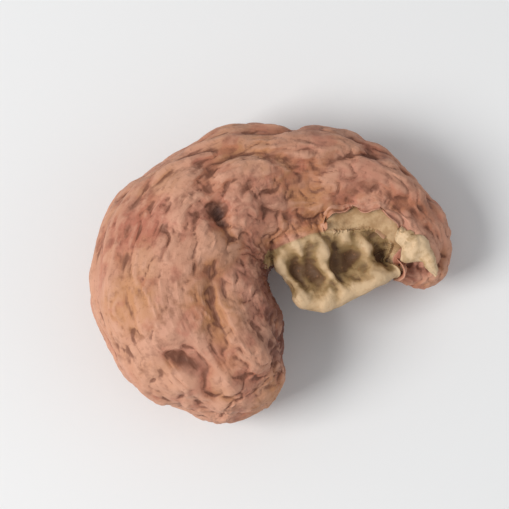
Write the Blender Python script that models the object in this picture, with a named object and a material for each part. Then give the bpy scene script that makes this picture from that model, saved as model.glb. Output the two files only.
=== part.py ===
"""A whole roasted cashew nut in its brown skin, lying on its flank.

+X runs from the broad head to the narrow tail, +Y points to the rounded back, the notch between head and
tail opens towards -Y, and +Z is up. The origin lies on the surface, below the middle of the nut's box.
The nut grew as one piece, so it is one solid: its creases, pits, seam and torn skin are raised from or sunk
into its surface by formulas.
"""

import math

import bmesh
import bpy
import numpy as np
from mathutils import Vector, noise

MM = 0.001

# Stations along the curled middle line, in millimetres: x, y and z of the line, then the half width towards
# the back, the half width towards the notch, and half the thickness. The two ends close off roundly.
STATIONS = {
    "head end": (-4.75, -6.85, -0.2, 4.85, 4.9, 4.6),
    "head": (-4.75, -3.2, -0.3, 5.35, 5.2, 5.3),
    "cheek": (-4.05, 0.6, 0.1, 6.9, 5.1, 5.6),
    "shoulder": (-1.85, 3.8, -0.3, 7.15, 4.9, 5.7),
    "crown": (2.35, 5.1, -0.8, 5.4, 4.85, 5.2),
    "loin": (6.2, 3.3, -1.1, 4.85, 4.65, 4.5),
    "tail": (9.15, 0.1, -1.6, 4.25, 4.35, 4.05),
    "tail bend": (10.2, -3.6, -1.7, 3.2, 3.5, 3.5),
    "tail end": (9.5, -7.6, -1.2, 2.2, 2.5, 2.7),
}
HEAD_ROUNDING = 5.4 * MM  # length over which the head's end closes
TAIL_ROUNDING = 4.0 * MM
SECTION_SQUARENESS = 2.2  # 2 is an ellipse, and more flattens the flanks
BACK_FULLNESS = 0.12  # how much thicker a section is on the back than in the notch

# Relief of the skin.
LUMP_HEIGHT = 0.60 * MM
LUMP_LENGTH = 5.0 * MM
LUMP_SHIFT = Vector((3.1, 7.7, 1.3))  # where in the endless pattern of lumps the nut lies
CREASE_DEPTH = 0.60 * MM
CREASE_SPACING = 2.3 * MM
CREASE_STRETCH = 1.7  # how much longer a crease is along the nut than across it
CREASE_BREADTH = 0.34  # share of the skin that slopes into a crease
CREASE_SHARPNESS = 1.4
CREASE_WANDER = 0.35  # how far a crease strays sideways, as a share of the spacing
CREASE_SWINGS = 0.7  # how often it strays, per spacing
CREASE_SEED = 3  # which way each crease strays
PIT_DEPTH = 0.60 * MM
PIT_SPACING = 2.7 * MM
PIT_RADIUS = 0.80 * MM
PIT_STRENGTH = 0.5  # share of the full depth that a middling pit reaches
PIT_SPREAD = 0.9  # how far the others differ from it
PIT_SHUFFLE = 5.3  # spreads neighbouring pits out in the noise that gives each its strength
SEAM_DEPTH = 0.22 * MM
SEAM_HALF_WIDTH = 0.55 * MM
END_CALM = 2.0 * MM  # the creases and the seam fade out this near to the two ends
NOTCH_CALM = 0.1  # the whole relief fades out where the bend squeezes the surface to this share of its length

# Deep dimples on the upper flank: x and y on the frame of the stations, long and short radius, and the
# direction of the long one.
DIMPLES = ((0.6, 5.2, 1.0, 0.9, 0.0), (-6.8, -1.0, 1.5, 0.95, math.radians(-65)))
DIMPLE_DEPTH = 0.85 * MM

# The patch where the skin has torn off the inner side of the tail.
BARE_CENTRE = 0.80  # share of the middle line
BARE_SIDE = math.radians(140)  # round the section from the back, over the top
BARE_RADIUS = 3.3 * MM
BARE_RAGGED = 1.1 * MM
BARE_TEAR_LENGTH = 2.6 * MM
BARE_TEAR_ROUGHNESS = 0.8
BARE_TEAR_OCTAVES = 2  # each half as long as the one before
BARE_EDGE = 0.4 * MM  # half the width of the step from the skin down to the kernel
BARE_SMOOTHNESS = 0.7  # share of the creases and hollows that the kernel under the skin lacks
SKIN_THICKNESS = 0.25 * MM

# The fold of loose skin that bridges the inner part of the notch. The three rows of points that it is bent
# through each run from the notch's corner to the tail, in millimetres on the frame of the stations.
FOLD_ROOT = ((2.2, 2.1, 1.3), (4.8, 1.5, 1.2), (7.2, -0.1, 0.5), (9.0, -3.0, -0.4))
FOLD_MIDDLE = ((1.7, -0.7, 1.9), (4.2, -2.0, 2.4), (6.3, -3.0, 1.9), (8.6, -4.4, 0.3))
FOLD_RIM = ((1.6, -2.4, 0.9), (2.7, -3.9, 0.6), (4.4, -4.4, 0.7), (6.2, -4.8, 0.8), (8.4, -5.3, -0.1))
FOLD_THICKNESS = 1.6 * MM
FOLD_ROUNDING = (0.16, 0.09)  # share of its breadth and of its length over which its edges are rounded
FOLD_EDGE_SHARE = 0.3  # how much of the thickness is left at the very edge
FOLD_LIP = 0.45 * MM  # height of the rolled rim
FOLD_LIP_PLACE = 0.84  # share of the breadth, from the root
FOLD_LIP_WIDTH = 0.13
FOLD_POCKET = 0.85 * MM  # depth of the hollows between the root and the rolled rim
FOLD_POCKET_PLACE = 0.5
FOLD_POCKET_WIDTH = 0.2
FOLD_PARTITIONS = 2.6  # ridges that part the hollows
FOLD_PARTING = 0.8  # how far the ridges fill the hollows
FOLD_CRUMPLE = 0.25 * MM
FOLD_CRUMPLE_LENGTH = 1.1 * MM
FOLD_POINTS = (28, 14)
FOLD_BUNCHING = 1.4  # more brings the points closer together towards the rim
MERGE_DISTANCE = 0.008 * MM  # points of the fused mesh that lie closer are made one

# The nut rests on small flats, which are cut this deep into its lowest spots.
REST_FLAT_DEPTH = 0.24 * MM
LAYING_TURNS = 8  # enough for the nut to stop turning over
FAR_CORNERS = ((10.0, 0.0, 100.0), (-5.0, 9.0, 100.0), (-5.0, -9.0, 100.0))  # in lengths of the nut
TOUCHING = 1e-9

RINGS = 78
POINTS_ROUND = 64

SKIN_COLOUR = (0.42, 0.21, 0.13, 1.0)
SKIN_ROUGHNESS = 0.72


def smoothstep(low, high, value):
    """0 below low, 1 above high, and an even swing in between."""
    share = np.clip((value - low) / (high - low), 0.0, 1.0)
    return share * share * (3.0 - 2.0 * share)


def spline(knots, values, samples):
    """A natural cubic spline through the values at the knots, read at the samples."""
    gaps = np.diff(knots)
    slopes = np.diff(values, axis=0) / gaps[:, None]
    matrix = np.eye(len(knots))
    bends = np.zeros_like(values)
    for i in range(1, len(knots) - 1):
        matrix[i, i - 1 : i + 2] = gaps[i - 1], 2.0 * (gaps[i - 1] + gaps[i]), gaps[i]
        bends[i] = 6.0 * (slopes[i] - slopes[i - 1])
    bends = np.linalg.solve(matrix, bends)
    i = np.clip(np.searchsorted(knots, samples) - 1, 0, len(gaps) - 1)
    gap = gaps[i, None]
    before = (knots[i + 1] - samples)[:, None] / gap
    after = 1.0 - before
    curved = ((before**3 - before) * bends[i] + (after**3 - after) * bends[i + 1]) * gap**2 / 6.0
    return before * values[i] + after * values[i + 1] + curved


def spine(count=800):
    """The middle line in metres: distances along it, places, and the three half sizes, from head to tail."""
    stations = np.array(list(STATIONS.values())) * MM
    chords = np.linalg.norm(np.diff(stations[:, :3], axis=0), axis=1)
    knots = np.concatenate([[0.0], np.cumsum(chords)])
    line = spline(knots, stations, np.linspace(0.0, knots[-1], count))
    steps = np.linalg.norm(np.diff(line[:, :3], axis=0), axis=1)
    return np.concatenate([[0.0], np.cumsum(steps)]), line[:, :3], line[:, 3:]


def closing(along, length):
    """How far the sections have opened at these distances: 0 at the two ends and 1 in between."""
    from_head = np.clip(along / HEAD_ROUNDING, 0.0, 1.0)
    from_tail = np.clip((length - along) / TAIL_ROUNDING, 0.0, 1.0)
    return np.sqrt(1.0 - (1.0 - from_head) ** 2) * np.sqrt(1.0 - (1.0 - from_tail) ** 2)


def ring_places(rings, distance, sizes):
    """Distances that space the rings evenly over the surface, rounded ends included."""
    radius = sizes.mean(axis=1) * closing(distance, distance[-1])
    travelled = np.concatenate([[0.0], np.cumsum(np.hypot(np.diff(distance), np.diff(radius)))])
    return np.interp(np.linspace(0.0, travelled[-1], rings + 1), travelled, distance)


def read_at(samples, distance, table):
    """The table's columns at the sample distances."""
    return np.stack([np.interp(samples, distance, column) for column in table.T], axis=1)


def body_grid(rings, points_round):
    """The smooth body: its places, where each would lie if the nut were straight, and how stretched it is.

    The stretch is the surface's length over the middle line's: under 1 in the notch and over 1 on the back.
    """
    distance, line, sizes = spine()
    ahead = np.gradient(line, distance, axis=0)
    outward = np.stack([-ahead[:, 1], ahead[:, 0], np.zeros(len(ahead))], axis=1)
    outward /= np.linalg.norm(outward, axis=1)[:, None]
    heading = np.unwrap(np.arctan2(ahead[:, 1], ahead[:, 0]))
    curving = -np.gradient(heading, distance)

    along = ring_places(rings, distance, sizes)
    centre = read_at(along, distance, line)
    normal = read_at(along, distance, outward)
    opened = closing(along, distance[-1])[:, None]
    back, notch, thickness = (read_at(along, distance, sizes) * opened).T

    turn = np.arange(points_round) * (2.0 * math.pi / points_round)
    power = 2.0 / SECTION_SQUARENESS
    across = np.sign(np.cos(turn)) * np.abs(np.cos(turn)) ** power
    upward = np.sign(np.sin(turn)) * np.abs(np.sin(turn)) ** power
    upward *= 1.0 + BACK_FULLNESS * across

    out = np.where(across > 0.0, back[:, None], notch[:, None]) * across
    up = thickness[:, None] * upward
    places = centre[:, None, :] + out[..., None] * normal[:, None, :]
    places[..., 2] += up
    straight = np.stack([np.broadcast_to(along[:, None], out.shape), out, up], axis=2)
    stretch = 1.0 + out * np.interp(along, distance, curving)[:, None]
    return places, straight, stretch


def grid_normals(places):
    """Outward normals of the body's grid, with one shared normal at each end."""
    following = np.roll(places, -1, axis=1) - np.roll(places, 1, axis=1)
    forward = np.gradient(places, axis=0)
    normals = np.cross(following, forward)
    normals[0] = (places[0] - places[1]).mean(axis=0)
    normals[-1] = (places[-1] - places[-2]).mean(axis=0)
    return normals / np.linalg.norm(normals, axis=2)[..., None]


def each_place(function, places):
    """A number from the function for each place of the grid."""
    flat = places.reshape(-1, 3)
    return np.array([function(Vector(place)) for place in flat]).reshape(places.shape[:2])


def lumps(place):
    return noise.noise(place / LUMP_LENGTH + LUMP_SHIFT)


def creases(place):
    """Folds that run along the nut: 0 on the open skin and -1 at the bottom of a fold."""
    stretched = Vector((place.x / CREASE_STRETCH, place.y, place.z)) / CREASE_SPACING
    bent = stretched + CREASE_WANDER * noise.noise_vector(stretched * CREASE_SWINGS)
    return -(max(0.0, 1.0 - abs(noise.noise(bent)) / CREASE_BREADTH) ** CREASE_SHARPNESS)


def pits(place):
    """Round hollows at scattered places: 0 on the open skin and midway between them, and -1 in a deep one."""
    distances, centres = noise.voronoi(place / PIT_SPACING)
    strength = max(0.0, min(1.0, PIT_STRENGTH + PIT_SPREAD * noise.cell(centres[0] * PIT_SHUFFLE)))
    clear = min(1.0, 2.0 * (distances[1] - distances[0]))
    return -strength * clear * math.exp(-((distances[0] * PIT_SPACING / PIT_RADIUS) ** 2))


def dimples(places, straight):
    """The two deep dimples of the upper flank: 0 on the open skin and -1 in their middles."""
    depth = np.zeros(places.shape[:2])
    for x, y, long_radius, short_radius, turn in DIMPLES:
        aside = places[..., :2] - np.array([x, y]) * MM
        lengthwise = aside @ np.array([math.cos(turn), math.sin(turn)]) / (long_radius * MM)
        crosswise = aside @ np.array([-math.sin(turn), math.cos(turn)]) / (short_radius * MM)
        depth -= np.exp(-(lengthwise**2) - crosswise**2)
    return np.where(straight[..., 2] > 0.0, depth, 0.0)


def tears(place):
    return noise.fractal(place / BARE_TEAR_LENGTH, BARE_TEAR_ROUGHNESS, 2.0, BARE_TEAR_OCTAVES)


def bare_share(places, straight):
    """1 where the skin has torn off and 0 where it holds, with a ragged edge."""
    ring = np.abs(straight[:, 0, 0] - BARE_CENTRE * straight[-1, 0, 0]).argmin()
    turn = np.arange(places.shape[1]) * (2.0 * math.pi / places.shape[1])
    centre = places[ring, np.abs(turn - BARE_SIDE).argmin()]
    ragged = each_place(tears, places)
    distance = np.linalg.norm(places - centre, axis=2) + BARE_RAGGED * ragged
    return 1.0 - smoothstep(BARE_RADIUS - BARE_EDGE, BARE_RADIUS + BARE_EDGE, distance)


def seam(straight):
    """The shallow groove between the two seed halves, along the back and along the notch."""
    return -np.exp(-((straight[..., 2] / SEAM_HALF_WIDTH) ** 2))


def relief(places, straight, stretch):
    """Height of the skin over the smooth body, calmer where the notch squeezes the surface."""
    bare = bare_share(places, straight)
    length = straight[-1, 0, 0]
    from_ends = np.minimum(straight[..., 0], length - straight[..., 0])
    lengthwise = CREASE_DEPTH * each_place(creases, straight) + SEAM_DEPTH * seam(straight)
    hollows = PIT_DEPTH * each_place(pits, places) + DIMPLE_DEPTH * dimples(places, straight)
    height = LUMP_HEIGHT * each_place(lumps, places) - SKIN_THICKNESS * bare
    height += (lengthwise * smoothstep(0.0, END_CALM, from_ends) + hollows) * (1.0 - BARE_SMOOTHNESS * bare)
    return height * smoothstep(NOTCH_CALM, 1.0, stretch)


def nut_mesh(places):
    """One closed mesh from the grid: a point at each end, and rings of quads between them."""
    rings, around = places.shape[0] - 1, places.shape[1]
    points = [places[0].mean(axis=0), *places[1:-1].reshape(-1, 3), places[-1].mean(axis=0)]
    last = len(points) - 1
    faces = []
    for j in range(around):
        k = (j + 1) % around
        faces.append((0, 1 + k, 1 + j))
        for i in range(rings - 2):
            low, high = 1 + i * around, 1 + (i + 1) * around
            faces.append((low + j, low + k, high + k, high + j))
        base = 1 + (rings - 2) * around
        faces.append((base + j, base + k, last))
    mesh = bpy.data.meshes.new("cashew_nut")
    mesh.from_pydata([tuple(point) for point in points], [], faces)
    mesh.validate()
    return mesh


def bell(values, middle, width):
    return np.exp(-(((values - middle) / width) ** 2))


def rounded(share, breadth):
    """Rises as a quarter circle from 0 at an edge to 1 at this breadth from it."""
    return np.sqrt(1.0 - (1.0 - np.clip(share / breadth, 0.0, 1.0)) ** 2)


def crumple(place):
    return noise.noise(place / FOLD_CRUMPLE_LENGTH)


def fold_surface():
    """The middle surface of the loose skin, its normals, and how much of its thickness each place has."""
    across, down = FOLD_POINTS
    along = np.linspace(0.0, 1.0, across)
    fall = 1.0 - (1.0 - np.linspace(0.0, 1.0, down)[:, None]) ** FOLD_BUNCHING
    rows = [
        spline(np.linspace(0.0, 1.0, len(row)), np.array(row) * MM, along)
        for row in (FOLD_ROOT, FOLD_MIDDLE, FOLD_RIM)
    ]
    weights = ((1.0 - fall) ** 2, 2.0 * fall * (1.0 - fall), fall**2)
    places = sum(weight[..., None] * row for weight, row in zip(weights, rows))
    normals = np.cross(np.gradient(places, axis=0), np.gradient(places, axis=1))
    normals /= np.linalg.norm(normals, axis=2)[..., None]

    parting = FOLD_PARTING * (0.5 + 0.5 * np.cos(2.0 * math.pi * FOLD_PARTITIONS * along)) ** 2
    lift = FOLD_LIP * bell(fall, FOLD_LIP_PLACE, FOLD_LIP_WIDTH) + FOLD_CRUMPLE * each_place(crumple, places)
    lift -= FOLD_POCKET * bell(fall, FOLD_POCKET_PLACE, FOLD_POCKET_WIDTH) * (1.0 - parting)
    roundness = rounded(1.0 - fall, FOLD_ROUNDING[0]) * rounded(np.minimum(along, 1.0 - along), FOLD_ROUNDING[1])
    return places + normals * lift[..., None], normals, FOLD_EDGE_SHARE + (1.0 - FOLD_EDGE_SHARE) * roundness


def fold_mesh():
    """The loose skin as a closed slab with rounded edges."""
    places, normals, thickness = fold_surface()
    down, across = places.shape[:2]
    half = normals * (thickness * FOLD_THICKNESS / 2.0)[..., None]
    upper, lower = places + half, places - half
    faces = []
    for i in range(down - 1):
        for j in range(across - 1):
            corners = (i * across + j, i * across + j + 1, (i + 1) * across + j + 1, (i + 1) * across + j)
            faces.append(corners)
            faces.append(tuple(down * across + corner for corner in reversed(corners)))
    top, bottom = range(across), range((down - 1) * across, down * across)
    left, right = range(0, down * across, across), range(across - 1, down * across, across)
    for line in (top, bottom, left, right):
        for first, second in zip(line[:-1], line[1:]):
            faces.append((first, second, down * across + second, down * across + first))
    mesh = bpy.data.meshes.new("fold")
    mesh.from_pydata([tuple(p) for p in np.concatenate([upper.reshape(-1, 3), lower.reshape(-1, 3)])], [], faces)
    shape = bmesh.new()
    shape.from_mesh(mesh)
    bmesh.ops.recalc_face_normals(shape, faces=shape.faces)
    bmesh.ops.triangulate(shape, faces=shape.faces)
    shape.to_mesh(mesh)
    shape.free()
    return mesh


def fused(body_mesh, added_mesh):
    """One mesh of both, merged where they meet."""
    body = bpy.data.objects.new("body", body_mesh)
    added = bpy.data.objects.new("added", added_mesh)
    for each in (body, added):
        bpy.context.scene.collection.objects.link(each)
    union = body.modifiers.new("union", "BOOLEAN")
    union.operation = "UNION"
    union.solver = "EXACT"
    union.object = added
    mesh = bpy.data.meshes.new_from_object(body.evaluated_get(bpy.context.evaluated_depsgraph_get()))
    mesh.name = "cashew_nut"
    for each in (body, added):
        bpy.data.objects.remove(each)
    shape = bmesh.new()
    shape.from_mesh(mesh)
    bmesh.ops.remove_doubles(shape, verts=shape.verts, dist=MERGE_DISTANCE)
    bmesh.ops.dissolve_degenerate(shape, edges=shape.edges, dist=MERGE_DISTANCE / 3.0)
    bmesh.ops.triangulate(shape, faces=shape.faces)
    shape.to_mesh(mesh)
    shape.free()
    return mesh


def centre_of_mass(mesh):
    mesh.calc_loop_triangles()
    corners = np.array([[mesh.vertices[i].co for i in triangle.vertices] for triangle in mesh.loop_triangles])
    volumes = np.einsum("ij,ij->i", corners[:, 0], np.cross(corners[:, 1], corners[:, 2]))
    return (corners.sum(axis=1) / 4.0 * volumes[:, None]).sum(axis=0) / volumes.sum()


def side_below(mesh):
    """The outward normal of the three-point plane that the nut would stand on, below its centre of mass.

    The three corners start far out and high up. The point that lies lowest under their plane then takes the
    place of one corner, always so that the weight stays between the three, until no point is under the plane.
    """
    points = np.array([vertex.co for vertex in mesh.vertices])
    weight = centre_of_mass(mesh)
    corners = weight + np.ptp(points, axis=0).max() * np.array(FAR_CORNERS)
    for _ in range(len(points)):
        flat = np.column_stack([corners[:, :2], np.ones(3)])
        plane = np.linalg.solve(flat, corners[:, 2])
        above = points[:, 2] - points[:, :2] @ plane[:2] - plane[2]
        lowest = points[above.argmin()]
        if above.min() > -TOUCHING:
            break
        shares = np.linalg.solve(flat.T, [weight[0], weight[1], 1.0])
        moves = np.linalg.solve(flat.T, [lowest[0], lowest[1], 1.0])
        room = np.where(moves > 0.0, shares / np.maximum(moves, TOUCHING), np.inf)
        corners[room.argmin()] = lowest
    return Vector((plane[0], plane[1], -1.0)).normalized()


def lay_down(mesh):
    """Turns the nut until it lies on low spots round its weight, and flattens those onto the surface."""
    down = Vector((0.0, 0.0, -1.0))
    for _ in range(LAYING_TURNS):
        mesh.transform(side_below(mesh).rotation_difference(down).to_matrix().to_4x4())
    points = np.array([vertex.co for vertex in mesh.vertices])
    low, high = points.min(axis=0), points.max(axis=0)
    points -= np.array([(low[0] + high[0]) / 2, (low[1] + high[1]) / 2, low[2] + REST_FLAT_DEPTH])
    points[:, 2] = np.maximum(points[:, 2], 0.0)
    mesh.vertices.foreach_set("co", points.ravel())
    mesh.update()


def skin_material():
    material = bpy.data.materials.new("roasted_skin")
    material.use_nodes = True
    shader = material.node_tree.nodes["Principled BSDF"]
    shader.inputs["Base Color"].default_value = SKIN_COLOUR
    shader.inputs["Roughness"].default_value = SKIN_ROUGHNESS
    shader.inputs["Metallic"].default_value = 0.0
    return material


def make_nut():
    noise.seed_set(CREASE_SEED)
    places, straight, stretch = body_grid(RINGS, POINTS_ROUND)
    places = places + grid_normals(places) * relief(places, straight, stretch)[..., None]
    mesh = fused(nut_mesh(places), fold_mesh())
    lay_down(mesh)
    mesh.materials.append(skin_material())
    mesh.shade_smooth()
    nut = bpy.data.objects.new("cashew_nut", mesh)
    bpy.context.scene.collection.objects.link(nut)
    return nut


def main():
    for old in list(bpy.data.objects):
        bpy.data.objects.remove(old)
    make_nut()


main()
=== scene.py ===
import math

import bmesh
import bpy
import numpy as np
from mathutils import Euler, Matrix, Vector, noise
from mathutils.bvhtree import BVHTree
from mathutils.kdtree import KDTree


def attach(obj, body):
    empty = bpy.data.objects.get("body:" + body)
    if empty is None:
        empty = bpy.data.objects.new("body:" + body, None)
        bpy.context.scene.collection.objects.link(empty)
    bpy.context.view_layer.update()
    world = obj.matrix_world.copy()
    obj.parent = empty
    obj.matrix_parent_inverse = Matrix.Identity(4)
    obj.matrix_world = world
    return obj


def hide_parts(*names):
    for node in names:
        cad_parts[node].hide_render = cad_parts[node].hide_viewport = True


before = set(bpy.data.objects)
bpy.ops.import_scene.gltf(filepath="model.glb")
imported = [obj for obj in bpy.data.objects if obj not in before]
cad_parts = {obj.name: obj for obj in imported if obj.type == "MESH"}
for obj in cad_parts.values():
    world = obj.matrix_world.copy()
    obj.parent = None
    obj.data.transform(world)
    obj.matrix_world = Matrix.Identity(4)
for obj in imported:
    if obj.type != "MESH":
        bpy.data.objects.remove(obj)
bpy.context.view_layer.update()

mm = 0.001

# The nut's middle line from head to tail, in millimetres on the frame that it grew in, and how that frame
# is turned (in degrees) and shifted when the nut lies on the floor.
middleLine = {
    "points": (
        (-4.75, -6.85, -0.2), (-4.75, -3.2, -0.3), (-4.05, 0.6, 0.1), (-1.85, 3.8, -0.3), (2.35, 5.1, -0.8),
        (6.2, 3.3, -1.1), (9.15, 0.1, -1.6), (10.2, -3.6, -1.7), (9.5, -7.6, -1.2),
    ),
    "turn": (8.0, 0.60, 0.06),
    "shift": (-1.49, -1.82, 5.44),
    "samples": 240,
    "degree": 7,
}
lying = np.array(Euler([math.radians(angle) for angle in middleLine["turn"]]).to_matrix())
shift = np.array(middleLine["shift"]) * mm


def onFloor(places):
    # from the frame that the nut grew in to the frame that it lies in
    return np.asarray(places) @ lying.T + shift


def asGrown(places):
    return (np.asarray(places) - shift) @ lying


def smoothStep(low, high, values):
    share = np.clip((values - low) / (high - low), 0.0, 1.0)
    return share * share * (3.0 - 2.0 * share)


# Node maths as plain expressions: a Wire is an output socket, and a Graph makes the nodes that join wires.
class Wire:
    def __init__(self, graph, socket):
        self.graph = graph
        self.socket = socket

    def __add__(self, other):
        return self.graph.maths("ADD", self, other)

    def __sub__(self, other):
        return self.graph.maths("SUBTRACT", self, other)

    def __rsub__(self, other):
        return self.graph.maths("SUBTRACT", other, self)

    def __mul__(self, other):
        return self.graph.maths("MULTIPLY", self, other)

    def __truediv__(self, other):
        return self.graph.maths("DIVIDE", self, other)

    def __rtruediv__(self, other):
        return self.graph.maths("DIVIDE", other, self)

    def __pow__(self, power):
        return self.graph.maths("POWER", self, power)

    def __neg__(self):
        return self.graph.maths("MULTIPLY", self, -1.0)

    def __abs__(self):
        return self.graph.maths("ABSOLUTE", self)

    __radd__ = __add__

    def atLeast(self, low):
        return self.graph.maths("MAXIMUM", self, low)


class Graph:
    def __init__(self, tree):
        self.tree = tree
        tree.nodes.clear()

    def plug(self, socket, value):
        if isinstance(value, Wire):
            self.tree.links.new(value.socket, socket)
        else:
            socket.default_value = value

    def add(self, kind, settings=None, inputs=None, output=0):
        node = self.tree.nodes.new(kind)
        for name, value in (settings or {}).items():
            setattr(node, name, value)
        for name, value in (inputs or {}).items():
            self.plug(node.inputs[name], value)
        return Wire(self, node.outputs[output]) if node.outputs else node

    def maths(self, operation, *values):
        return self.add("ShaderNodeMath", {"operation": operation}, dict(enumerate(values)))

    def vectors(self, operation, *values):
        return self.add("ShaderNodeVectorMath", {"operation": operation}, dict(enumerate(values)))

    def scaled(self, vector, factor):
        return self.add("ShaderNodeVectorMath", {"operation": "SCALE"}, {"Vector": vector, "Scale": factor})

    def blend(self, share, low, high):
        return self.add("ShaderNodeMix", {"data_type": "RGBA"}, {0: share, 6: low, 7: high}, 2)

    def swing(self, value, low, high):
        # 0 below low, 1 above high, and a smooth swing in between
        inputs = {"Value": value, "From Min": low, "From Max": high}
        return self.add("ShaderNodeMapRange", {"interpolation_type": "SMOOTHSTEP"}, inputs)

    def clouds(self, place, size, detail=2.0, roughness=0.5, output=0):
        inputs = {"Vector": place, "Scale": 1.0 / size, "Detail": detail, "Roughness": roughness}
        return self.add("ShaderNodeTexNoise", {}, inputs, output)

    def creases(self, clouds, breadth, sharpness):
        # 1 along the thin lines where the clouds pass their middle, and 0 away from them
        return (1.0 - abs(clouds * 2.0 - 1.0) / breadth).atLeast(0.0) ** sharpness


def newMesh(name, points, faces):
    mesh = bpy.data.meshes.new(name)
    mesh.from_pydata([tuple(point) for point in points], [], faces)
    mesh.validate()
    mesh.shade_smooth()
    return mesh


def newPiece(name, mesh, material=None):
    piece = bpy.data.objects.new(name, mesh)
    bpy.context.scene.collection.objects.link(piece)
    if material:
        mesh.materials.clear()
        mesh.materials.append(material)
    return piece


def storeOnPoints(mesh, name, kind, values):
    attribute = mesh.attributes.get(name) or mesh.attributes.new(name, kind, "POINT")
    field = "vector" if kind == "FLOAT_VECTOR" else "value"
    attribute.data.foreach_set(field, np.ravel(values).astype(np.float32))


def pointsOf(mesh):
    points = np.empty(len(mesh.vertices) * 3)
    mesh.vertices.foreach_get("co", points)
    return points.reshape(-1, 3)


def normalsOf(mesh):
    normals = np.empty(len(mesh.vertices) * 3)
    mesh.vertices.foreach_get("normal", normals)
    return normals.reshape(-1, 3)


def edgesOf(mesh):
    edges = np.empty(len(mesh.edges) * 2, dtype=np.int64)
    mesh.edges.foreach_get("vertices", edges)
    return edges.reshape(-1, 2)


def movePoints(mesh, points):
    mesh.vertices.foreach_set("co", points.ravel())
    mesh.update()


def keepResult(piece, name):
    # turns what the modifiers make into the piece's own plain mesh
    depsgraph = bpy.context.evaluated_depsgraph_get()
    mesh = bpy.data.meshes.new_from_object(piece.evaluated_get(depsgraph))
    mesh.name = name
    piece.modifiers.clear()
    piece.data = mesh
    return mesh


def treeWith(name, sizes):
    # a geometry tree with one named input for each size
    tree = bpy.data.node_groups.new(name, "GeometryNodeTree")
    tree.interface.new_socket("Geometry", in_out="INPUT", socket_type="NodeSocketGeometry")
    for size in sizes:
        tree.interface.new_socket(size, in_out="INPUT", socket_type="NodeSocketFloat")
    tree.interface.new_socket("Geometry", in_out="OUTPUT", socket_type="NodeSocketGeometry")
    graph = Graph(tree)
    entry = tree.nodes.new("NodeGroupInput")
    wires = {socket.name: Wire(graph, socket) for socket in entry.outputs if socket.name}
    return graph, wires


def useTree(piece, graph, sizes):
    modifier = piece.modifiers.new(graph.tree.name, "NODES")
    modifier.node_group = graph.tree
    for item in graph.tree.interface.items_tree:
        if item.in_out == "INPUT" and item.name in sizes:
            modifier[item.identifier] = sizes[item.name]


# Places on the straightened nut

def straighten(places):
    # where each place would lie if the nut were straight: along it, out to the back, and up
    stations = np.array(middleLine["points"]) * mm
    chords = np.linalg.norm(np.diff(stations, axis=0), axis=1)
    knots = np.concatenate([[0.0], np.cumsum(chords)]) / chords.sum()
    shares, degree = np.linspace(0.0, 1.0, middleLine["samples"]), middleLine["degree"]
    fits = [np.polynomial.Polynomial.fit(knots, column, degree) for column in stations.T]
    line = np.column_stack([fit(shares) for fit in fits])
    steps = np.linalg.norm(np.diff(line, axis=0), axis=1)
    distance = np.concatenate([[0.0], np.cumsum(steps)])
    ahead = np.gradient(line, distance, axis=0)
    ahead /= np.linalg.norm(ahead, axis=1)[:, None]
    outward = np.column_stack([-ahead[:, 1], ahead[:, 0], np.zeros(len(ahead))])
    grown = asGrown(places)
    nearest = np.empty(len(grown), dtype=int)
    block = 4000   # places at a time, which keeps the memory small
    for start in range(0, len(grown), block):
        part = grown[start : start + block]
        nearest[start : start + block] = ((part[:, None, :] - line[None]) ** 2).sum(axis=2).argmin(axis=1)
    aside = grown - line[nearest]
    along = distance[nearest] + (aside * ahead[nearest]).sum(axis=1)
    return np.column_stack([along, (aside * outward[nearest]).sum(axis=1), aside[:, 2]])


# The fold of loose skin that bridges the notch's inner part, on the frame that the nut grew in, in
# millimetres. Its rows of points run from the notch's corner to the tail.
fold = {
    "root": ((2.2, 2.1, 1.3), (4.8, 1.5, 1.2), (7.2, -0.1, 0.5), (9.0, -3.0, -0.4)),
    "middle": ((1.7, -0.7, 1.9), (4.2, -2.0, 2.4), (6.3, -3.0, 1.9), (8.6, -4.4, 0.3)),
    "rim": ((1.6, -2.4, 0.9), (2.7, -3.9, 0.6), (4.4, -4.4, 0.7), (6.2, -4.8, 0.8), (8.4, -5.3, -0.1)),
    "grid": (110, 60),
    "reach": (0.95, 1.35),   # how far from its middle surface it extends, at its edges and inside
    "pocket": 0.45,          # how much deeper its hollows are than in the solid
    "partitions": 2.6,       # ridges that part the hollows
    "lip": 0.12,
    "crumple": 0.22,
    "crumpleSize": 1.0,
    "pleat": 0.07,           # small wrinkles from root to rim
    "pleats": 11.0,
}


def sheet(rows, across, down):
    # a surface bent through three rows of points
    shares = np.linspace(0.0, 1.0, across)
    root, middle, rim = (
        np.column_stack([
            np.polynomial.Polynomial.fit(np.linspace(0.0, 1.0, len(row)), column, len(row) - 1)(shares)
            for column in np.array(row).T
        ])
        for row in rows
    )
    fall = np.linspace(0.0, 1.0, down)[:, None, None]
    return (1.0 - fall) ** 2 * root + 2.0 * fall * (1.0 - fall) * middle + fall**2 * rim


def onFold(places):
    # how far along and down the fold each place lies, as shares, and how it lies from it in millimetres
    across, down = fold["grid"]
    grid = sheet((fold["root"], fold["middle"], fold["rim"]), across, down).reshape(-1, 3)
    tree = KDTree(len(grid))
    for index, place in enumerate(grid):
        tree.insert(place, index)
    tree.balance()
    grown = asGrown(places) / mm
    index = np.array([tree.find(place)[1] for place in grown])
    return index % across / (across - 1), index // across / (down - 1), grown - grid[index]


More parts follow.
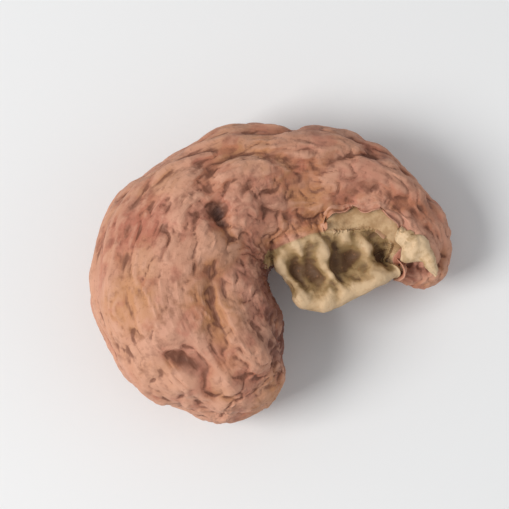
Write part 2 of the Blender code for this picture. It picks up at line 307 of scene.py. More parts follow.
def looseness(along, fall, offset, normals):
    # 1 on the fold and 0 on the nut's own body, which also lies near the fold but faces it
    distance = np.linalg.norm(offset, axis=1)
    outward = ((normals @ lying) * offset).sum(axis=1) / np.maximum(distance, 0.01)
    low, high = fold["reach"]
    reach = low + (high - low) * smoothStep(0.0, 0.12, np.minimum(along, 1.0 - fall))
    near = 1.0 - smoothStep(reach - 0.12, reach + 0.12, distance)
    near *= np.maximum(smoothStep(-0.3, 0.1, outward), 1.0 - smoothStep(0.4, 0.7, distance))
    return near * smoothStep(0.10, 0.26, fall) * (1.0 - smoothStep(0.86, 0.98, along))


# The patch where the skin has torn off, on the frame that the nut grew in, in millimetres
torn = {
    "centre": (6.69, -2.28, 0.62),
    "radius": 3.3,
    "ragged": 1.1,
    "tearLength": 2.6,
    "softEdge": 0.4,
    "calmEdge": 0.3,         # over how far the wrinkles fade out at the edge
    "skinThickness": 0.25,
    "extraDrop": 0.06,
    "shortestLoop": 30,
}


def tornDistance(places):
    # millimetres from the torn edge: below 0 where the skin is gone
    grown = asGrown(places) / mm
    ragged = [noise.fractal(Vector(place) / torn["tearLength"], 0.8, 2.0, 2) for place in grown]
    away = np.linalg.norm(grown - np.array(torn["centre"]), axis=1)
    return away + torn["ragged"] * np.array(ragged) - torn["radius"]


# Skin: the solid's own form, made finer and wrinkled

skin = {
    "subdivisions": 2,
    "sizes": {
        "Fold depth": 0.13, "Fold size": 1.5, "Vein height": 0.08, "Vein size": 1.9, "Crackle depth": 0.04,
        "Crackle size": 0.6, "Grain": 0.06, "Grain size": 0.5,
    },
    "stretch": (0.75, 1.0, 1.0),       # folds run along the nut
    "veinStretch": (0.55, 1.0, 1.0),
    "wander": 0.9,
}


def mergedCopy(node):
    shape = bmesh.new()
    shape.from_mesh(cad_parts[node].data)
    bmesh.ops.remove_doubles(shape, verts=shape.verts, dist=0.001 * mm)
    limits = {"angle_face_threshold": math.radians(60), "angle_shape_threshold": math.radians(80)}
    bmesh.ops.join_triangles(shape, faces=shape.faces, **limits)
    # a point left between only two faces would fold them onto each other
    bmesh.ops.dissolve_verts(shape, verts=[vert for vert in shape.verts if len(vert.link_edges) == 2])
    mesh = bpy.data.meshes.new("skin")
    shape.to_mesh(mesh)
    shape.free()
    return mesh


def wrinkleTree():
    graph, wires = treeWith("wrinkled skin", skin["sizes"])
    subdivide = graph.tree.nodes.new("GeometryNodeSubdivisionSurface")
    graph.plug(subdivide.inputs["Mesh"], wires["Geometry"])
    graph.plug(subdivide.inputs["Level"], skin["subdivisions"])
    named = {"data_type": "FLOAT_VECTOR"}
    straight = graph.add("GeometryNodeInputNamedAttribute", named, {"Name": "straight"})
    bare = graph.add("GeometryNodeInputNamedAttribute", {"data_type": "FLOAT"}, {"Name": "bare"})
    place = graph.scaled(straight, 1.0 / mm)
    wander = graph.vectors("SUBTRACT", graph.clouds(place, 2.4, 1.0, output=1), (0.5, 0.5, 0.5))
    bent = graph.vectors("ADD", place, graph.scaled(wander, skin["wander"]))
    lengthwise = graph.vectors("MULTIPLY", bent, skin["stretch"])
    veinwise = graph.vectors("ADD", graph.vectors("MULTIPLY", bent, skin["veinStretch"]), (7.3, 1.9, 4.1))
    foldClouds = graph.clouds(graph.scaled(lengthwise, 1.0 / wires["Fold size"]), 1.0, 1.5)
    folds = graph.creases(foldClouds, 0.30, 1.6)
    veinClouds = graph.clouds(graph.scaled(veinwise, 1.0 / wires["Vein size"]), 1.0, 2.5)
    veins = graph.creases(veinClouds, 0.14, 1.2)
    cells = {"Vector": graph.scaled(bent, 1.0 / wires["Crackle size"]), "Scale": 1.0}
    crackle = graph.add("ShaderNodeTexVoronoi", {"feature": "DISTANCE_TO_EDGE"}, cells)
    cracks = (1.0 - crackle / 0.22).atLeast(0.0)
    patches = graph.swing(graph.clouds(place, 4.0, 1.0), 0.42, 0.62)
    grain = graph.clouds(graph.scaled(place, 1.0 / wires["Grain size"]), 1.0, 2.0) - 0.5
    calm = 1.0 - bare * 0.85
    height = veins * wires["Vein height"] - folds * wires["Fold depth"]
    height = height - cracks * patches * wires["Crackle depth"]
    height = (height + grain * wires["Grain"]) * calm
    offset = graph.scaled(graph.add("GeometryNodeInputNormal"), height * mm)
    finer = Wire(graph, subdivide.outputs[0])
    moved = graph.add("GeometryNodeSetPosition", {}, {"Geometry": finer, "Offset": offset})
    realized = graph.add("GeometryNodeRealizeInstances", {}, {"Geometry": moved})
    finished = graph.add("GeometryNodeSetMaterial", {}, {"Geometry": realized, "Material": skinMaterial})
    graph.add("NodeGroupOutput", {}, {"Geometry": finished})
    return graph


def crossings(points, normals, edges, values):
    # where the values pass zero along the edges
    low, high = values[edges[:, 0]], values[edges[:, 1]]
    cut = np.flatnonzero(low * high < 0.0)
    share = (low[cut] / (low[cut] - high[cut]))[:, None]
    ends = edges[cut]
    places = points[ends[:, 0]] * (1.0 - share) + points[ends[:, 1]] * share
    facing = normals[ends[:, 0]] * (1.0 - share) + normals[ends[:, 1]] * share
    return cut, ends, share[:, 0], places, facing


def chains(mesh, cut):
    # follows the cut edges from face to face into closed loops
    isCut = set(int(edge) for edge in cut)
    beside = {}
    for face in mesh.polygons:
        found = [edge for edge in (mesh.loops[i].edge_index for i in face.loop_indices) if edge in isCut]
        for first, second in zip(found[::2], found[1::2]):
            beside.setdefault(first, []).append(second)
            beside.setdefault(second, []).append(first)
    loops = []
    while beside:
        loop = [next(iter(beside))]
        while True:
            onward = [edge for edge in beside.get(loop[-1], []) if edge not in loop[-2:]]
            if not onward or onward[0] == loop[0] or len(loop) > len(isCut):
                break
            loop.append(onward[0])
        for edge in loop:
            beside.pop(edge, None)
        loops.append(loop)
    return loops


def bell(values, middle, width):
    return np.exp(-(((values - middle) / width) ** 2))


def foldLift(places, along, fall):
    # how far each place of the fold is raised, in millimetres
    lift = np.zeros(len(places))
    for i in np.flatnonzero(fall > 0.1):
        spot = Vector(places[i] / mm) / fold["crumpleSize"]
        calm = 1.0 - 0.7 * bell(fall[i], 0.95, 0.15)
        lift[i] = fold["crumple"] * (noise.noise(spot) + 0.4 * noise.noise(spot * 2.5)) * calm
        wander = noise.noise(spot * 0.5)
        pleat = math.sin(fold["pleats"] * math.pi * along[i] + 5.0 * wander)
        lift[i] += fold["pleat"] * pleat * calm
        parting = (0.5 + 0.5 * math.cos(2.0 * math.pi * (fold["partitions"] * along[i] + 0.3 * wander))) ** 2
        lift[i] -= fold["pocket"] * bell(fall[i], 0.48, 0.18) * (1.0 - parting)
    return lift + fold["lip"] * bell(fall, 0.86, 0.10)


def makeSkin():
    print("skin: copying the solid and wrinkling it")
    mesh = mergedCopy("cashew_nut")
    coarse = pointsOf(mesh)
    storeOnPoints(mesh, "straight", "FLOAT_VECTOR", straighten(coarse))
    bare = 1.0 - smoothStep(-torn["calmEdge"], torn["calmEdge"], tornDistance(coarse))
    storeOnPoints(mesh, "bare", "FLOAT", np.maximum(bare, looseness(*onFold(coarse), normalsOf(mesh))))
    piece = newPiece("skin", mesh)
    useTree(piece, wrinkleTree(), skin["sizes"])
    mesh = keepResult(piece, "skin")
    points, loose = crumpleFold(mesh)
    lines = tearPatch(mesh, points, loose)
    storeHollows(mesh)
    return piece, lines


def crumpleFold(mesh):
    print("skin: crumpling the fold")
    points, normals = pointsOf(mesh), normalsOf(mesh)
    along, fall, offset = onFold(points)
    loose = looseness(along, fall, offset, normals)
    points += normals * (foldLift(points, along, fall) * loose * mm)[:, None]
    movePoints(mesh, points)
    storeOnPoints(mesh, "loose", "FLOAT", loose)
    return points, loose


def tearPatch(mesh, points, loose):
    # steps the surface down inside the torn edge, snaps points onto that edge, and returns its lines
    print("skin: tearing the patch off the tail")
    normals, edges = normalsOf(mesh), edgesOf(mesh)
    values = np.maximum(tornDistance(points), 2.0 * loose - 1.0)
    cut, ends, share, places, facing = crossings(points, normals, edges, values)
    nearEnd = np.where(share < 0.5, ends[:, 0], ends[:, 1])
    order = np.argsort(-np.linalg.norm(places - points[nearEnd], axis=1))
    lines = [(places[rows], facing[rows]) for rows in loopRows(mesh, cut)]
    soft = 1.0 - smoothStep(-torn["softEdge"], torn["softEdge"], values)
    points[nearEnd[order]] = places[order]
    values[nearEnd[order]] = 0.0
    crisp = np.where(values < 0.0, 1.0, 0.0)
    drop = torn["skinThickness"] * (crisp - soft) + torn["extraDrop"] * crisp
    points -= normals * (drop * mm)[:, None]
    points[:, 2] = np.maximum(points[:, 2], 0.0)
    movePoints(mesh, points)
    storeOnPoints(mesh, "bare", "FLOAT", crisp)
    return lines


def loopRows(mesh, cut):
    # the rows of the cut edges, loop by loop, without the tiny loops
    rowOf = {int(edge): row for row, edge in enumerate(cut)}
    loops = [loop for loop in chains(mesh, cut) if len(loop) > torn["shortestLoop"]]
    return [[rowOf[edge] for edge in loop] for loop in loops]


def smoothed(points, edges, counts, rounds):
    for _ in range(rounds):
        total = np.empty_like(points)
        for axis in range(3):
            column = points[:, axis]
            total[:, axis] = np.bincount(edges[:, 0], column[edges[:, 1]], len(points))
            total[:, axis] += np.bincount(edges[:, 1], column[edges[:, 0]], len(points))
        points = 0.5 * points + 0.5 * total / counts[:, None]
    return points


# How many rounds of smoothing each kind of hollow is measured against
hollows = {"hollowNear": 12, "hollowFar": 120, "hollowBroad": 500}


def storeHollows(mesh):
    # how deep each point lies below its surroundings, near by and further off, in millimetres
    points, normals, edges = pointsOf(mesh), normalsOf(mesh), edgesOf(mesh)
    counts = np.bincount(edges.ravel(), minlength=len(points))
    for name, rounds in hollows.items():
        calmer = smoothed(points, edges, counts, rounds)
        storeOnPoints(mesh, name, "FLOAT", ((calmer - points) * normals).sum(axis=1) / mm)


# Lips: the torn skin's lifted and curled edge, with its sizes in millimetres

lips = {
    "spacing": 0.09,
    "rootWidth": 0.32,
    "length": (0.10, 0.75),
    "curl": (0.2, 2.6),       # radians that the edge turns up through
    "curlSteps": 7,
    "thickness": 0.11,
    "tip": (2, 0.55),         # how many places near its edge are thinner, and how much
    "standOff": 0.06,
    "flapLength": 1.2,
    "jagLength": 0.35,
    "sunk": 0.35,
    "rough": 0.10,
    "roughLength": 0.4,
    "joinedPlace": 0.9,       # no lip where the skin belongs to the fold by more than this share
    "joinedLine": 0.8,        # and none on a line that does so on average
    "shortest": 8,
    "easeLine": 3,
    "easeFacing": 8,
    "easeJoined": 12,
    "seed": 3.7,
}


def eased(values, rounds):
    # the values along a closed line, smoothed
    for _ in range(rounds):
        values = (np.roll(values, 1, axis=0) + 2.0 * values + np.roll(values, -1, axis=0)) / 4.0
    return values


def evenly(points, normals, spacing):
    # a closed line smoothed and spaced evenly
    points = eased(points, lips["easeLine"])
    closedPoints = np.vstack([points, points[:1]])
    closedNormals = np.vstack([normals, normals[:1]])
    steps = np.linalg.norm(np.diff(closedPoints, axis=0), axis=1)
    travelled = np.concatenate([[0.0], np.cumsum(steps)])
    stops = np.linspace(0.0, travelled[-1], int(travelled[-1] / (spacing * mm)), endpoint=False)
    places = np.column_stack([np.interp(stops, travelled, column) for column in closedPoints.T])
    facing = np.column_stack([np.interp(stops, travelled, column) for column in closedNormals.T])
    facing = eased(facing, lips["easeFacing"])
    return places, facing / np.linalg.norm(facing, axis=1)[:, None]


def lipRing(place, facing, away, joined, surface):
    # one closed section of the lip: over the top from root to edge, and back underneath. It sinks into the
    # nut where the skin lies flat, and shrinks towards the places where the skin is joined to the fold.
    sample, seed = Vector(place / mm), lips["seed"]
    swell = 0.5 + 0.9 * noise.noise(sample / lips["flapLength"] + Vector((seed, 0.0, 0.0)))
    jag = 0.5 + 0.5 * noise.noise(sample / lips["jagLength"] + Vector((0.0, seed, 0.0)))
    turn = 0.5 + 1.1 * noise.noise(sample / (1.3 * lips["flapLength"]) + Vector((0.0, 0.0, seed)))
    swell, turn = min(max(swell, 0.0), 1.0), min(max(turn, 0.0), 1.0)
    (shortest, longest), (least, most) = lips["length"], lips["curl"]
    length = shortest + (longest - shortest) * swell * (0.55 + 0.45 * jag)
    length *= 1.0 - 0.8 * joined
    curl = least + (most - least) * turn
    sunk = lips["sunk"] * max(float(smoothStep(0.42, 0.22, swell)), joined)
    width = lips["rootWidth"] * (0.4 + 0.6 * swell) * (1.0 - 0.5 * joined)
    rough = lips["rough"] * noise.noise(sample / lips["roughLength"])
    middle = []
    for outward, lift in ((width, -0.05), (0.6 * width, 0.5 * rough), (0.25 * width, 0.05 + rough)):
        start = place + away * outward * mm
        found = surface.find_nearest(Vector(start))
        height = float((np.array(found[0]) - start) @ facing)
        middle.append((start + facing * (height + (lift - sunk) * mm), facing))
    place = place - facing * sunk * mm
    radius, steps = length / curl, lips["curlSteps"]
    for step in range(1, steps + 1):
        angle = curl * step / steps
        rise = lips["standOff"] + radius * (1.0 - math.cos(angle))
        spot = place - away * radius * math.sin(angle) * mm + facing * rise * mm
        middle.append((spot, facing * math.cos(angle) + away * math.sin(angle)))
    top, under = [], []
    thinner, share = lips["tip"]
    for index, (spot, lean) in enumerate(middle):
        half = 0.5 * lips["thickness"] * mm * (1.0 if index < len(middle) - thinner else share)
        top.append(spot + lean * half)
        under.append(spot - lean * half)
    return top + under[::-1]


def stretches(kept):
    # the unbroken stretches of a closed line, each as a list of its places, without very short ones
    start = int(np.argmin(kept))
    runs = [[]]
    for step in range(len(kept)):
        index = (start + step) % len(kept)
        if kept[index]:
            runs[-1].append(index)
        elif runs[-1]:
            runs.append([])
    return [run for run in runs if len(run) > lips["shortest"]]


def addStrip(rings, closed, points, faces):
    # joins sections into one body, with a cap at each end if it is open
    around, base = len(rings[0]), len(points)
    for ring in rings:
        points.extend(ring)
    for i in range(len(rings) if closed else len(rings) - 1):
        here, there = base + i * around, base + (i + 1) % len(rings) * around
        for k in range(around):
            m = (k + 1) % around
            faces.append((here + k, there + k, there + m, here + m))
    if not closed:
        for first in (base, base + (len(rings) - 1) * around):
            for k in range(around // 2 - 1):
                faces.append((first + k, first + k + 1, first + around - 2 - k, first + around - 1 - k))


def makeLips(lines, surface):
    print("lips: lifting the torn edge")
    centre = onFloor(np.array(torn["centre"]) * mm)
    points, faces = [], []
    for line, normals in lines:
        places, facing = evenly(line, normals, lips["spacing"])
        # where the line isn't the patch's own edge, the skin goes over into the fold
        joined = smoothStep(0.05, 0.25, np.abs(tornDistance(places)))
        if joined.mean() > lips["joinedLine"]:
            continue
        joined = eased(joined, lips["easeJoined"])
        ahead = np.roll(places, -1, axis=0) - np.roll(places, 1, axis=0)
        away = np.cross(ahead, facing)
        away /= np.linalg.norm(away, axis=1)[:, None]
        if ((places - centre) * away).sum() < 0.0:
            away = -away
        rings = [lipRing(*each, surface) for each in zip(places, facing, away, joined)]
        for stretch in stretches(joined < lips["joinedPlace"]):
            addStrip([rings[i] for i in stretch], len(stretch) == len(rings), points, faces)
    mesh = newMesh("skin_lips", points, faces)
    faceOut(mesh)
    storeOnPoints(mesh, "straight", "FLOAT_VECTOR", straighten(pointsOf(mesh)))
    storeHollows(mesh)
    return newPiece("skin_lips", mesh, skinMaterial)


def faceOut(mesh):
    shape = bmesh.new()
    shape.from_mesh(mesh)
    bmesh.ops.recalc_face_normals(shape, faces=shape.faces)
    shape.to_mesh(mesh)
    shape.free()


# Materials

# Colours of the skin, kernel and peel. Some also serve as painted light: brown, crevice, peel olive and peel
# brown as painted shade in the hollows, red-brown as painted shade along the inner curl, and dust and cream
# as painted highlight on the ridges and rims. Brown, dust, cream and peel olive are also used as the skin's
# and peel's own tones.
colours = {
    "pink": (0.49, 0.205, 0.132, 1.0),
    "tan": (0.42, 0.152, 0.076, 1.0),
    "ochre": (0.47, 0.205, 0.080, 1.0),
    "dustAndHighlight": (0.61, 0.315, 0.205, 1.0),
    "brown": (0.155, 0.050, 0.024, 1.0),
    "creviceShade": (0.045, 0.013, 0.006, 1.0),
    "redBrownShade": (0.13, 0.032, 0.017, 1.0),
    "red": (0.41, 0.125, 0.075, 1.0),
    "kernel": (0.58, 0.38, 0.20, 1.0),
    "kernelShade": (0.36, 0.20, 0.085, 1.0),
    "creamAndHighlight": (0.70, 0.49, 0.29, 1.0),
    "peel": (0.45, 0.28, 0.13, 1.0),
    "peelOliveAndShade": (0.25, 0.150, 0.055, 1.0),
    "peelHollowShade": (0.105, 0.045, 0.016, 1.0),
}

# Places where one colour of the skin is stronger, and three red-brown places of painted shade along the inner
# curl, in millimetres on the frame that the nut grew in
tints = (
    ("red", (-3.8, 7.6), 2.6),
    ("ochre", (-7.4, 3.6), 2.4),
    ("ochre", (-3.4, 0.2), 2.2),
    ("pink", (3.2, 3.4), 3.0),
    ("pink", (10.0, 1.0), 3.0),
    ("dustAndHighlight", (-8.6, -3.6), 2.2),
    ("ochre", (-3.6, -7.0), 2.2),
    # painted shade along the inner curl, by the notch
    ("redBrownShade", (-0.9, -4.2), 1.8),
    ("redBrownShade", (-0.9, -6.4), 1.5),
    ("redBrownShade", (2.0, 0.3), 1.7),
)


def newGraph(name):
    material = bpy.data.materials.new(name)
    material.use_nodes = True
    return material, Graph(material.node_tree)


def attributeOf(graph, name, output=2):
    return graph.add("ShaderNodeAttribute", {"attribute_name": name}, output=output)


def finish(graph, colour, roughness, height, depth):
    bump = graph.add("ShaderNodeBump", {}, {"Strength": 0.6, "Distance": depth * mm, "Height": height})
    inputs = {"Base Color": colour, "Roughness": roughness, "Normal": bump}
    shader = graph.add("ShaderNodeBsdfPrincipled", {}, inputs)
    graph.add("ShaderNodeOutputMaterial", {}, {"Surface": shader})


def peelColour(graph, place, near, far, broad):
    # the pale inner side of loose skin: olive in patches, with painted shade that turns it olive between its
    # ridges and brown in its hollows, and a painted cream highlight on its ridges
    mottle = graph.clouds(place, 0.8, 3.0, 0.6)
    speckle = graph.clouds(place, 0.2, 2.0)
    ground = graph.blend(graph.swing(mottle, 0.40, 0.64), colours["peel"], colours["peelOliveAndShade"])
    # painted shade: olive towards the broad hollows
    ground = graph.blend(graph.swing(broad + mottle * 0.2 - 0.1, -0.25, 0.35), ground, colours["peelOliveAndShade"])
    hollowShade = graph.swing(far + mottle * 0.1 - 0.05, 0.02, 0.26)
    ground = graph.blend(hollowShade * 0.8, ground, colours["peelHollowShade"])
    ground = graph.blend(graph.swing(broad, 0.25, 0.75) * 0.7, ground, colours["peelHollowShade"])
    ground = graph.blend(graph.swing(near, 0.004, 0.05) * 0.6, ground, colours["peelHollowShade"])
    # painted highlight: cream on the ridges
    ground = graph.blend(graph.swing(-far, 0.04, 0.25) * 0.8, ground, colours["creamAndHighlight"])
    return graph.blend(graph.swing(speckle, 0.55, 0.75) * 0.25, ground, colours["ochre"])


def skinGround(graph, place, mottle, broad):
    # pink, tan and ochre areas, a painted highlight on the broad ridges, and the tints and blotches over them
    pink = graph.swing(graph.clouds(place, 4.5, 2.0), 0.38, 0.62)
    ground = graph.blend(pink, colours["tan"], colours["pink"])
    ochre = graph.swing(graph.clouds(graph.vectors("ADD", place, (11.0, 3.0, 5.0)), 4.2, 2.0), 0.46, 0.66)
    ground = graph.blend(ochre * 0.75, ground, colours["ochre"])
    # painted highlight: the pale dust colour on the broad ridges, where light falls
    ridgeHighlight = graph.swing(-broad + mottle * 0.16 - 0.08, 0.02, 0.34)
    ground = graph.blend(ridgeHighlight * 0.60, ground, colours["dustAndHighlight"])
    flat = graph.vectors("MULTIPLY", place, (1.0, 1.0, 0.0))
    for name, (x, y), radius in tints:
        spot = onFloor(np.array((x, y, 0.0)) * mm) / mm
        ends = {0: flat, 1: (spot[0], spot[1], 0.0)}
        away = graph.add("ShaderNodeVectorMath", {"operation": "DISTANCE"}, ends, 1)
        tint = graph.swing(-away / radius + mottle * 1.6 - 0.8, -1.1, -0.3)
        ground = graph.blend(tint * 0.82, ground, colours[name])
    blotch = graph.clouds(graph.vectors("ADD", place, (3.0, 8.0, 1.0)), 1.9, 2.0)
    ground = graph.blend(graph.swing(blotch, 0.53, 0.66) * 0.50, ground, colours["dustAndHighlight"])
    ground = graph.blend(graph.swing(-blotch, -0.47, -0.36) * 0.45, ground, colours["red"])
    return graph.blend(graph.swing(mottle, 0.50, 0.70) * 0.45, ground, colours["brown"])


def skinShadeAndHighlight(graph, ground, mottle, speckle, near, far, broad):
    # painted shade: brown in the pits, hollows and fine lines and near black in the deepest hollows, and a
    # painted highlight in the pale dust colour on the rims between them
    pitShade = graph.swing(broad + mottle * 0.16 - 0.08, 0.04, 0.40)
    ground = graph.blend(pitShade * 0.80, ground, colours["brown"])
    hollowShade = graph.swing(far + speckle * 0.04 - 0.02, 0.02, 0.20)
    ground = graph.blend(hollowShade * 0.70, ground, colours["brown"])
    # painted shade along the fine lines
    line = graph.swing(near + speckle * 0.02 - 0.01, 0.005, 0.05)
    ground = graph.blend(line * 0.75, ground, colours["brown"])
    # painted shade: near black in the deepest broad hollows
    deepShade = graph.swing(broad, 0.18, 0.50)
    ground = graph.blend(deepShade * 0.9, ground, colours["creviceShade"])
    # painted highlight on the rims, in the pale dust colour
    rim = graph.swing(-near, 0.01, 0.06)
    return graph.blend(rim * 0.50, ground, colours["dustAndHighlight"])


def kernelColour(graph, mottle, speckle, far):
    # the bare kernel where the skin has torn off, with painted shade in its hollows
    kernel = graph.blend(graph.swing(mottle, 0.35, 0.70), colours["kernel"], colours["kernelShade"])
    kernel = graph.blend(graph.swing(speckle, 0.48, 0.70) * 0.5, kernel, colours["kernelShade"])
    # painted shade: dark brown in the kernel's hollows
    return graph.blend(graph.swing(far, 0.02, 0.20) * 0.7, kernel, colours["peelHollowShade"])


def makeSkinMaterial():
    material, graph = newGraph("roasted_skin")
    place = graph.scaled(graph.add("ShaderNodeTexCoord", output=3), 1.0 / mm)
    straight = graph.scaled(attributeOf(graph, "straight", 1), 1.0 / mm)
    near, far, broad = (attributeOf(graph, name) for name in hollows)
    bare, loose = attributeOf(graph, "bare"), attributeOf(graph, "loose")
    fibres = graph.clouds(graph.vectors("MULTIPLY", straight, (0.22, 1.0, 1.0)), 0.22, 2.0)
    mottle = graph.clouds(place, 1.1, 3.0, 0.6)
    speckle = graph.clouds(place, 0.28, 2.0)
    ground = skinGround(graph, place, mottle, broad)
    ground = skinShadeAndHighlight(graph, ground, mottle, speckle, near, far, broad)
    ground = graph.blend(graph.swing(speckle, 0.56, 0.72) * 0.25, ground, colours["brown"])
    ground = graph.blend(graph.swing(fibres, 0.50, 0.75) * 0.18, ground, colours["dustAndHighlight"])
    across = graph.add("ShaderNodeSeparateXYZ", {}, {"Vector": straight}, 1)
    # painted shade: a dark red-brown band along the inner side of the curl, by the notch
    notchShade = graph.swing(-across + mottle * 2.0 - 1.0, 3.4, 4.6)
    ground = graph.blend(notchShade * 0.80, ground, colours["redBrownShade"])
    kernel = kernelColour(graph, mottle, speckle, far)
    edge = graph.swing(loose + mottle * 0.2 - 0.10, 0.15, 0.45)
    colour = graph.blend(bare, graph.blend(edge, ground, peelColour(graph, place, near, far, broad)), kernel)
    roughness = 0.60 + speckle * 0.22 - bare * 0.12
    height = fibres * 0.5 + speckle * 0.5 + graph.clouds(place, 0.12, 1.0) * 0.25
    finish(graph, colour, roughness, height, 0.06)
    return material


def makePeelMaterial():
    material, graph = newGraph("torn_peel")
    place = graph.scaled(graph.add("ShaderNodeTexCoord", output=3), 1.0 / mm)
    near = attributeOf(graph, "hollowNear")
    mottle = graph.clouds(place, 0.8, 3.0, 0.6)
    speckle = graph.clouds(place, 0.2, 2.0)
    ground = graph.blend(graph.swing(mottle, 0.45, 0.70), colours["creamAndHighlight"], colours["peel"])
    # painted shade: olive in the fine hollows of the flake
    ground = graph.blend(graph.swing(near, 0.01, 0.08) * 0.5, ground, colours["peelOliveAndShade"])
    finish(graph, ground, 0.55 + speckle * 0.25, speckle + graph.clouds(place, 0.09, 1.0) * 0.5, 0.04)
    return material


skinMaterial = makeSkinMaterial()
peelMaterial = makePeelMaterial()

# Flake: a pale scrap of peel on the tail. Its rows of points are in millimetres on the frame that the nut
# grew in, and run towards the tail's tip.

flake = {
    "root": ((10.1, -3.0, 1.6), (10.6, -4.1, 1.6), (10.7, -5.6, 1.4), (10.2, -6.9, 1.0)),
    "middle": ((9.8, -2.9, 1.9), (10.0, -4.0, 2.4), (10.0, -5.6, 2.1), (10.0, -7.0, 1.3)),
    "edge": ((9.5, -3.0, 1.6), (8.8, -3.9, 1.5), (9.2, -5.6, 1.3), (9.7, -7.0, 1.0)),
    "clearance": 0.35,       # how far its free edge stands off the skin below
    "points": (60, 24),
    "bulge": 0.15,
    "rim": 0.12,
    "partitions": 0.4,
    "crumple": 0.20,
    "crumpleSize": 0.9,
    "jag": 0.35,
    "jagLength": 1.3,
    "thickness": 0.14,
    "seed": 1.3,
}


def layOnSkin(points, surface):
    # draws the flake's root onto the skin, and makes its free edge ragged
    across, down = flake["points"]
    seed = Vector((flake["seed"], 0.0, 0.0))
    for j in range(across):
        onSkin = np.array(surface.find_nearest(Vector(points[0, j]))[0]) - points[0, j]
        ragged = noise.noise(Vector(points[-1, j] / mm) / flake["jagLength"] + seed)
        jag = flake["jag"] * (2.0 * ragged - 0.5)
        reach = points[-1, j] - points[0, j]
        for i in range(down):
            share = i / (down - 1)
            points[i, j] += onSkin * (1.0 - share) ** 2 + reach * jag * share


def crumpleFlake(points, surface):
    # bends the flake, and keeps it above the skin
    across, down = flake["points"]
    seed = Vector((flake["seed"], 0.0, 0.0))
    high, straightDown = Vector((0.0, 0.0, 10.0 * mm)), Vector((0.0, 0.0, -1.0))
    lean = np.cross(np.gradient(points, axis=1), np.gradient(points, axis=0))
    lean *= np.sign(lean[..., 2].mean()) / np.linalg.norm(lean, axis=2)[..., None]
    for j in range(across):
        for i in range(down):
            share = i / (down - 1)
            spot = Vector(points[i, j] / mm) / flake["crumpleSize"] + seed
            bend = noise.noise(spot) + 0.5 * noise.noise(spot * 2.3)
            turn = flake["partitions"] * j / (across - 1) + 0.5 * noise.noise(spot * 0.4)
            parting = (0.5 + 0.5 * math.cos(2.0 * math.pi * turn)) ** 2
            lift = flake["crumple"] * bend + flake["rim"] * bell(share, 0.84, 0.11)
            lift += flake["bulge"] * bell(share, 0.45, 0.22) * (1.0 - 0.8 * parting)
            points[i, j] += lean[i, j] * lift * min(1.0, 4.0 * share) * mm
            below = surface.ray_cast(Vector(points[i, j]) + high, straightDown)[0]
            if below:
                points[i, j, 2] = max(points[i, j, 2], below.z + flake["clearance"] * share * mm)


def makeFlake(surface):
    print("flake: laying it on the tail")
    across, down = flake["points"]
    points = onFloor(sheet((flake["root"], flake["middle"], flake["edge"]), across, down) * mm)
    layOnSkin(points, surface)
    crumpleFlake(points, surface)
    faces = [
        (i * across + j, i * across + j + 1, (i + 1) * across + j + 1, (i + 1) * across + j)
        for i in range(down - 1) for j in range(across - 1)
    ]
    piece = newPiece("peel_flake", newMesh("peel_flake", points.reshape(-1, 3), faces), peelMaterial)
    storeHollows(piece.data)
    solid = piece.modifiers.new("thickness", "SOLIDIFY")
    solid.thickness = flake["thickness"] * mm
    solid.offset = 0.0
    faceOut(keepResult(piece, "peel_flake"))
    return piece


# Studio: floor, lights and camera

studio = {
    "floorSize": 0.6,
    "floorColour": (0.80, 0.795, 0.785, 1.0),
    "world": 0.47,
    "worldColour": (0.93, 0.96, 1.0, 1.0),
    "lamps": (                # name, azimuth, elevation, power, size and distance
        ("key", -110.0, 48.0, 1.0, 0.16, 0.35),
        ("fill", 40.0, 35.0, 0.12, 0.30, 0.40),
    ),
    "aim": (0.0, 0.0, 5.0 * mm),
    "azimuth": -39.0,
    "elevation": 80.0,
    "distance": 0.19,
    "lens": 200.0,
}


def direction(azimuth, elevation):
    azimuth, elevation = math.radians(azimuth), math.radians(elevation)
    flat = math.cos(elevation)
    return Vector((math.sin(azimuth) * flat, -math.cos(azimuth) * flat, math.sin(elevation)))


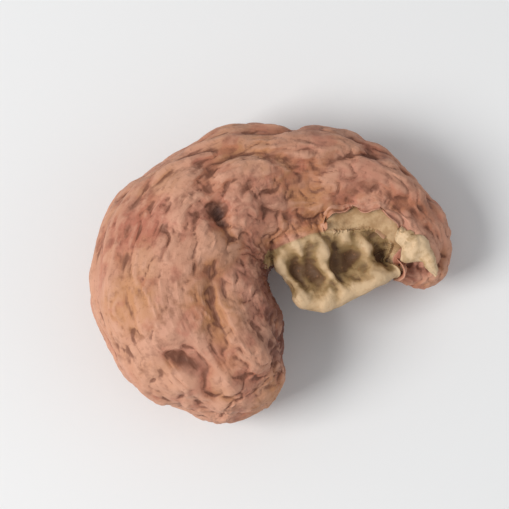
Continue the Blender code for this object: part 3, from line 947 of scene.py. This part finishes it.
def makeFloor():
    half = studio["floorSize"] / 2
    corners = ((-half, -half, 0.0), (half, -half, 0.0), (half, half, 0.0), (-half, half, 0.0))
    material = bpy.data.materials.new("pale_floor")
    material.use_nodes = True
    shader = material.node_tree.nodes["Principled BSDF"]
    shader.inputs["Base Color"].default_value = studio["floorColour"]
    shader.inputs["Roughness"].default_value = 0.9
    floor = newPiece("floor", newMesh("floor", corners, [(0, 1, 2, 3)]), material)


def makeLamp(name, towards, power, size, distance, target):
    lamp = bpy.data.objects.new(name, bpy.data.lights.new(name, "AREA"))
    lamp.data.energy = power
    lamp.data.size = size
    lamp.location = target + towards * distance
    lamp.rotation_euler = (-towards).to_track_quat("-Z", "Y").to_euler()
    bpy.context.scene.collection.objects.link(lamp)


def makeStudio():
    print("studio: floor, lights and camera")
    scene = bpy.context.scene
    makeFloor()
    centre = Vector(studio["aim"])
    for name, azimuth, elevation, power, size, distance in studio["lamps"]:
        makeLamp(name, direction(azimuth, elevation), power, size, distance, centre)
    world = bpy.data.worlds.new("soft room")
    world.use_nodes = True
    background = world.node_tree.nodes["Background"]
    background.inputs["Color"].default_value = studio["worldColour"]
    background.inputs["Strength"].default_value = studio["world"]
    scene.world = world
    scene.view_settings.view_transform = "Standard"
    away = direction(studio["azimuth"], studio["elevation"])
    camera = bpy.data.objects.new("camera", bpy.data.cameras.new("camera"))
    camera.location = centre + away * studio["distance"]
    camera.rotation_euler = (-away).to_track_quat("-Z", "Y").to_euler()
    camera.data.lens = studio["lens"]
    camera.data.clip_start = 0.01
    scene.collection.objects.link(camera)
    scene.camera = camera


makeStudio()
skinPiece, tornLines = makeSkin()
skinMesh = skinPiece.data
skinSurface = BVHTree.FromPolygons([v.co for v in skinMesh.vertices], [p.vertices for p in skinMesh.polygons])
lipPiece = makeLips(tornLines, skinSurface)
flakePiece = makeFlake(skinSurface)

for piece in (skinPiece, lipPiece, flakePiece):
    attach(piece, "root")
    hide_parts("cashew_nut")
    print(piece.name, len(piece.data.polygons), "faces")
